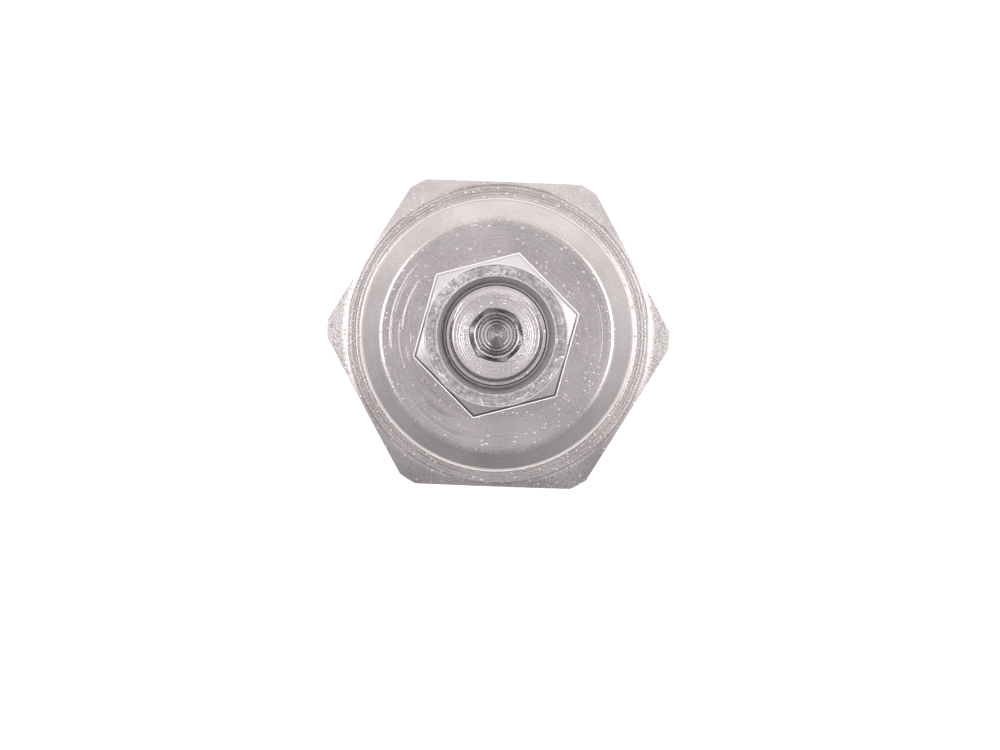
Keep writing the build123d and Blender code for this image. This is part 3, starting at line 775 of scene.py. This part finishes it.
def hex_tips(s, radius, z):
    """The steep left and right tips of the hexagon, and a rough patch at one corner beside them."""
    x, y = s.split(s.position())[:2]
    tips = s.times(s.ramp(radius, TIP_START_R, TIP_START_R + TIP_BLEND),
                   s.ramp(s.math("ABSOLUTE", y), *TIP_SIDES, 1.0, 0.0))
    off = s.reach(s.math("SUBTRACT", x, PATCH_AT[0]), s.math("SUBTRACT", y, PATCH_AT[1]))
    patch = s.times(s.ramp(off, *PATCH_FADE, 1.0, 0.0), s.ramp(radius, HEX_FACE_R, HEX_FACE_R + EDGE))
    return s.times(s.math("MAXIMUM", tips, patch), s.ramp(z, *TIP_HEIGHTS))


def boss_face(s, radius, z):
    """The boss's flat face."""
    return s.times(s.ramp(radius, FACE_EDGE_R + 0.1 * MM, FACE_EDGE_R + 0.3 * MM, 1.0, 0.0),
                   s.ramp(z, *FACE_HEIGHTS))


def screw_end(s, radius, z):
    """The chamfer round the screw's end."""
    return s.times(s.ramp(radius, SCREW_FACE_R, SCREW_FACE_R + 0.05 * MM), s.ramp(z, *END_HEIGHTS))


def screw_groove(s, radius, z):
    """The thread's groove where it crosses that chamfer: what lies below the chamfer's cone. Its darker tint
    is painted shade.
    """
    cone = s.math("MULTIPLY_ADD", radius, END_SLOPES[0], -screw_high.z - END_SLOPES[0] * SCREW_FACE_R)
    below = s.times(s.add(cone, z), -1.0)
    return s.times(s.ramp(below, 0.02 * MM, 0.08 * MM), between(s, radius, SCREW_FACE_R, 3.9 * MM),
                   s.ramp(z, *END_HEIGHTS))


def socket_mouth(s, radius, z):
    """The chamfer round the socket's mouth. Its darker tint is painted shade."""
    return s.times(s.ramp(radius, SOCKET_CORNER_R, SOCKET_CORNER_R + EDGE, 1.0, 0.0),
                   between(s, z, screw_high.z - 0.8 * MM, screw_high.z - 0.04 * MM, 0.02 * MM))


def socket_walls(s, radius, z):
    """The socket's walls and the ledge at its foot. Their darker tint is painted shade."""
    return s.times(between(s, radius, DRILL_R + 0.14 * MM, SOCKET_CORNER_R + EDGE),
                   s.ramp(z, *WALL_HEIGHTS, 1.0, 0.0))


def socket_cone(s, radius, z):
    """The drilled hole at the socket's foot. Its lighter tint is painted light, standing in for the light
    its rings and flat middle catch.
    """
    return s.times(s.ramp(radius, DRILL_R - 0.05 * MM, DRILL_R + 0.02 * MM, 1.0, 0.0),
                   s.ramp(z, *CONE_HEIGHTS, 1.0, 0.0))


def zinc(name, dark, light, edge, mouth_shade_tone):
    """Bright zinc plating: mottled and scratched on the face, smoother on the chamfers, with a painted
    highlight along the face's rims and the hexagon's outline, bright in the nicks, a line of painted shade
    inside that outline, weaker towards +y, and rougher and darker in the countersink, the darker tone being
    painted shade."""
    s = Nodes(bpy.data.materials.new(name))
    at = s.position()
    x, y, z = s.split(at)
    radius = s.reach(x, y)
    face = between(s, radius, NUT_MOUTH_R, NUT_FACE_R)
    # Painted highlight: bright tone along the face's rims and, further down, the hexagon's outline
    rims = s.math("MAXIMUM", between(s, radius, NUT_MOUTH_R - 0.02 * MM, NUT_MOUTH_R + 0.07 * MM),
                  between(s, radius, NUT_FACE_R - 0.08 * MM, NUT_FACE_R + 0.02 * MM))
    rims = s.times(rims, s.ramp(z, *NUT_RIM_HEIGHTS))
    side = 0.0
    for i in range(3):
        out = s.split(s.turned(at, -NUT_TURN - (i + 0.5) * TAU / 6))[0]
        side = s.math("MAXIMUM", side, s.math("ABSOLUTE", out))
    edge_at = NUT_FLATS / 2 - NUT_EDGE
    top = s.ramp(z, *NUT_TOP_HEIGHTS)
    upper = s.times(top, s.ramp(radius, NUT_FACE_R, NUT_FACE_R + EDGE))
    rims = s.math("MAXIMUM", rims, s.times(s.ramp(side, edge_at - 0.01 * MM, edge_at + 0.01 * MM), upper))
    # Painted shade: a dark line just inside the hexagon's outline, weaker towards +y
    shade = s.times(between(s, side, edge_at - NUT_SHADE_LINE_WIDTH, edge_at, 0.02 * MM), upper,
                    s.ramp(y, 1.0 * MM, 5.0 * MM, 1.0, 0.2))
    sunk = nut_high.z - NUT_BEAD
    nicks = s.times(between(s, radius, NUT_MOUTH_R + 0.1 * MM, NUT_FACE_R - 0.1 * MM),
                    s.ramp(z, sunk - 0.012 * MM, sunk - 0.005 * MM, 1.0, 0.0),
                    s.ramp(z, nut_low.z, nut_low.z + 3 * MM))
    # The countersink: rougher, and painted darker as painted shade
    mouth = s.times(s.ramp(radius, NUT_MOUTH_R - 0.1 * MM, NUT_MOUTH_R, 1.0, 0.0), top)
    scratches = 0.0
    for i, (degrees, across) in enumerate(NUT_SCRATCHES):
        scaled = s.node("ShaderNodeMapping", {"Vector": s.turned(at, math.radians(degrees)),
                                              "Scale": (across, SCRATCH_SCALE, SCRATCH_SCALE),
                                              "Location": (i * 3.1, i * 1.7, 0)})
        scratches = s.math("MAXIMUM", scratches, s.ramp(s.noise(scaled.outputs[0], 1.0, 1.0), 0.71, 0.78))
    mottle = s.noise(at, NUT_MOTTLE_SCALE, 2.0, 0.6)
    grain = s.noise(at, GRAIN_SCALE, 2.0, 0.7)
    patch = s.noise(at, NUT_PATCH_SCALE, 3.0, 0.6)
    rings = s.line_noise(radius, NUT_RING_SCALE, 1.0)
    specks = s.dots(at, NUT_SPECK_SCALE, 0.7)
    height = s.add(s.times(mottle, UNIT_SLOPE * NUT_MOTTLE_SLOPE / NUT_MOTTLE_SCALE),
                   s.times(grain, UNIT_SLOPE * NUT_GRAIN_SLOPE / GRAIN_SCALE),
                   s.times(s.add(scratches, specks), UNIT_SLOPE * NUT_GRAIN_SLOPE / SCRATCH_SLOPE_SCALE))
    height = s.times(height, s.ramp(face, 0.0, 1.0, 0.3, 1.0))
    bump = s.node("ShaderNodeBump", {"Height": height, "Strength": 1.0, "Distance": 1.0})
    tone = s.add(s.times(patch, 0.4), s.times(scratches, 0.3), s.times(mottle, 0.6), s.times(rings, 0.3))
    tone = s.add(s.ramp(tone, 0.52, 0.84), s.times(specks, 0.9))
    colour = s.mix(face, edge, s.mix(tone, dark, light))
    # Painted shade: the countersink's darker tone and the line inside the outline
    colour = s.mix(shade, s.mix(mouth, colour, mouth_shade_tone), NUT_PAINTED_SHADE_TONE)
    # Painted highlight on the face's rims and the hexagon's outline; the nicks take the same bright tone
    colour = s.mix(s.math("MAXIMUM", nicks, rims), colour, NUT_HIGHLIGHT_AND_NICK_TONE)
    rough = s.add(s.ramp(s.add(patch, grain), 0.7, 1.3, 0.18, 0.3), s.times(mouth, 0.25))
    return s.finish({"Base Color": colour, "Metallic": 1.0, "Roughness": rough,
                     "Normal": bump.outputs[0]})


def soft_part(name, dark, light, roughness, bump_um=6.0, sheen=0.0):
    """Moulded rubber or plastic with a faint grain."""
    s = Nodes(bpy.data.materials.new(name))
    at = s.position()
    patch = s.noise(at, SOFT_PATCH_SCALE, 3.0, 0.6)
    fine = s.noise(at, SOFT_GRAIN_SCALE, 2.0, 0.6)
    bump = s.node("ShaderNodeBump", {"Height": s.times(fine, bump_um), "Strength": 1.0,
                                     "Distance": MICRON})
    colour = s.mix(s.ramp(patch, 0.3, 0.7), dark, light)
    rough = s.ramp(fine, 0.3, 0.7, roughness - 0.08, roughness + 0.08)
    return s.finish({"Base Color": colour, "Roughness": rough, "Normal": bump.outputs[0],
                     "Sheen Weight": sheen})


def grey(value):
    """A grey as red, green and blue."""
    return (value, value, value)


def make_materials():
    """One material for each slot of the record."""
    return {
        "body_steel": turned_metal(
            "body_steel", (0.58, 0.527, 0.53), (0.82, 0.758, 0.762), speck=1.6, regions=(
                (boss_face, 1.6, 1.3, grey(0.9), 1.0), (boss_rim, 0.08, 0.08, grey(1.06), 0.35),
                (hex_face, 6.0, 2.5, grey(0.95), 0.9), (hex_tips, 1.0, 7.0, grey(0.95), 1.0))),
        "nut_zinc": zinc("nut_zinc", (0.43, 0.405, 0.435), (0.99, 0.935, 0.96), (0.84, 0.785, 0.81),
                         (0.62, 0.605, 0.62)),
        "screw_steel": turned_metal(
            "screw_steel", (0.64, 0.585, 0.59), (0.89, 0.825, 0.83), roughness=0.23, lines=0.045, grain=0.11,
            # The groove's darker tint is painted shade
            regions=((screw_end, 1.0, 0.5, grey(0.9), 0.7), (screw_groove, 1.0, 0.5, grey(0.62), 1.0),
                     # The socket mouth's and walls' darker tints are painted shade
                     (socket_mouth, 1.0, 1.0, (0.74, 0.76, 0.76), 1.0),
                     (socket_walls, 1.0, 1.0, (0.5, 0.52, 0.52), 1.0),
                     # The cone's lighter tint is painted light
                     (socket_cone, 0.7, 0.4, (1.06, 1.1, 1.1), 0.5))),
        "sleeve_steel": turned_metal("sleeve_steel", (0.46, 0.44, 0.43), (0.62, 0.60, 0.59),
                                     roughness=0.24, lines=0.03, grain=0.02),
        "inner_steel": turned_metal("inner_steel", (0.44, 0.43, 0.42), (0.60, 0.59, 0.58),
                                    roughness=0.2, lines=0.03, grain=0.02),
        "spring_steel": turned_metal("spring_steel", (0.20, 0.19, 0.19), (0.36, 0.35, 0.34),
                                     roughness=0.32, lines=0.01, grain=0.03),
        "ball_steel": turned_metal("ball_steel", (0.70, 0.70, 0.71), (0.80, 0.80, 0.81),
                                   roughness=0.1, lines=0.0, grain=0.01),
        "seal_rubber": soft_part("seal_rubber", (0.016, 0.016, 0.017), (0.04, 0.04, 0.042), 0.5),
        "backup_plastic": soft_part("backup_plastic", (0.62, 0.57, 0.48), (0.78, 0.74, 0.66), 0.45,
                                    bump_um=3.0, sheen=0.1),
    }


def dress(obj, material):
    """Gives an object one material."""
    if not obj.material_slots:
        obj.data.materials.append(material)
    for slot in obj.material_slots:
        slot.material = material


def spring_part(node, name, low, high):
    """The part of a CAD spring between two heights, closed where it is cut."""
    source = frame["nodes"][node]
    bm = bmesh.new()
    bm.from_mesh(source.data)
    bm.transform(source.matrix_world)
    for z, above in ((low, True), (high, False)):
        cut = bmesh.ops.bisect_plane(bm, geom=bm.verts[:] + bm.edges[:] + bm.faces[:], dist=CUT_MARGIN,
                                     plane_co=(0, 0, z), plane_no=(0, 0, 1),
                                     clear_inner=above, clear_outer=not above)
        rim = [e for e in cut["geom_cut"] if isinstance(e, bmesh.types.BMEdge)]
        bmesh.ops.holes_fill(bm, edges=rim)
    return make_object(name, bm)


def build_springs(materials):
    """The springs, closed where they are cut. The main spring has a moving body at both ends, so it
    is in two halves that meet at its middle."""
    main_low, main_high = (v.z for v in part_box("main_spring"))
    check_low, check_high = (v.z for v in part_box("check_spring"))
    middle = (main_low + main_high) / 2
    for name, node, low, high, low_body, high_body in (
            ("main_spring_lower", "main_spring", main_low - EDGE, middle, "relief", "body"),
            ("main_spring_upper", "main_spring", middle, main_high + EDGE, "body", "adjuster"),
            ("check_spring_coil", "check_spring", check_low - EDGE, check_high + EDGE, "body", "check")):
        piece = spring_part(node, name, low, high)
        dress(piece, materials["spring_steel"])
        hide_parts(node)
        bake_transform(piece)


def build_pieces(materials):
    """The pieces that stand for CAD nodes, on their bodies."""
    for obj, body, slot, node in (
            (build_body(), "body", "body_steel", "valve_body"),
            (build_nut(), "nut", "nut_zinc", "lock_nut"),
            (build_screw(), "screw", "screw_steel", "adjusting_screw")):
        dress(obj, materials[slot])
        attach(obj, body)
        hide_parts(node)


def dress_nodes(materials):
    """Every CAD node takes the material of its slot in the record."""
    for part in frame["record"]["subparts"]:
        dress(frame["nodes"][part["node"]], materials[part["material_slot"]])


def build_floor():
    """Pale floor that glows round the object, like the light table of the photograph."""
    bm = bmesh.new()
    bmesh.ops.create_grid(bm, x_segments=1, y_segments=1, size=FLOOR_HALF)
    bmesh.ops.translate(bm, verts=bm.verts, vec=(0, 0, -FLOOR_DROP))
    floor = make_object("floor", bm)
    s = Nodes(bpy.data.materials.new("floor"))
    tone = s.ramp(s.noise(s.position(), 8.0, 2.0), 0.3, 0.7)
    colour = s.mix(tone, (0.90, 0.89, 0.89), (0.93, 0.92, 0.92))
    x, y = s.split(s.position())[:2]
    glow = s.ramp(s.reach(x, y), *GLOW_FADE, GLOW, 0.0)
    dress(floor, s.finish({"Base Color": colour, "Roughness": 0.9, "Specular IOR Level": 0.1,
                           "Emission Color": STUDIO_TINT, "Emission Strength": glow}))


def build_world():
    """Soft studio surround: brighter behind the object's top than at its foot, with a tall softbox
    to the left and one to the right."""
    world = bpy.data.worlds.new("studio")
    bpy.context.scene.world = world
    s = Nodes(world)
    x, y, z = s.split(s.node("ShaderNodeTexCoord").outputs["Generated"])
    above, rise_y, rise_x = SURROUND
    level = s.math("MULTIPLY_ADD", y, rise_y, s.math("MULTIPLY_ADD", x, rise_x, above))
    width = s.ramp(s.math("ABSOLUTE", s.math("SUBTRACT", y, SOFTBOX_SHIFT)), *SOFTBOX_SIDES, 1.0, 0.0)
    strength = s.math("MULTIPLY_ADD", x, -SOFTBOX_LEAN, SOFTBOX_LEVEL)
    lean = s.math("MULTIPLY_ADD", x, -SOFTBOX_TILT, z)
    tall = s.times(s.ramp(z, *SOFTBOX_FOOT), s.ramp(lean, *SOFTBOX_TOP, 1.0, 0.0))
    level = s.math("MULTIPLY_ADD", s.times(width, tall), strength, level)
    background = s.node("ShaderNodeBackground", {"Strength": level, "Color": STUDIO_TINT})
    s.node("ShaderNodeOutputWorld", {0: background.outputs[0]})


def build_camera():
    """Long lens straight over the adjusting end, leaned and rolled as in the photograph."""
    data = bpy.data.cameras.new("camera")
    camera = bpy.data.objects.new("camera", data)
    bpy.context.scene.collection.objects.link(camera)
    focal = HEX_PIXELS_PER_M * CAMERA_DISTANCE
    data.sensor_width = SENSOR
    data.lens = focal * SENSOR / IMAGE_SIZE[0]
    data.clip_start, data.clip_end = CLIP
    roll = Matrix.Rotation(-HEX_ROLL, 4, "Z")
    right, up = roll @ Vector((1, 0, 0)), roll @ Vector((0, 1, 0))
    toward = Vector((0, 0, 1)) + right * math.tan(CAMERA_LEAN[0]) + up * math.tan(CAMERA_LEAN[1])
    target = Vector((0, 0, HEX_TOP))
    camera.location = target + toward.normalized() * CAMERA_DISTANCE
    shift_x = (IMAGE_SIZE[0] / 2 - HEX_PIXEL[0]) / HEX_PIXELS_PER_M
    shift_y = (HEX_PIXEL[1] - IMAGE_SIZE[1] / 2) / HEX_PIXELS_PER_M
    aim = target + right * shift_x + up * shift_y
    back = (camera.location - aim).normalized()
    side = up.cross(back).normalized()
    top = back.cross(side)
    turn = Matrix((side, top, back)).transposed()
    camera.rotation_euler = turn.to_euler()
    bpy.context.scene.camera = camera


materials = make_materials()
dress_nodes(materials)
build_pieces(materials)
build_springs(materials)
build_floor()
build_world()
build_camera()
bpy.context.scene.view_settings.view_transform = "Standard"
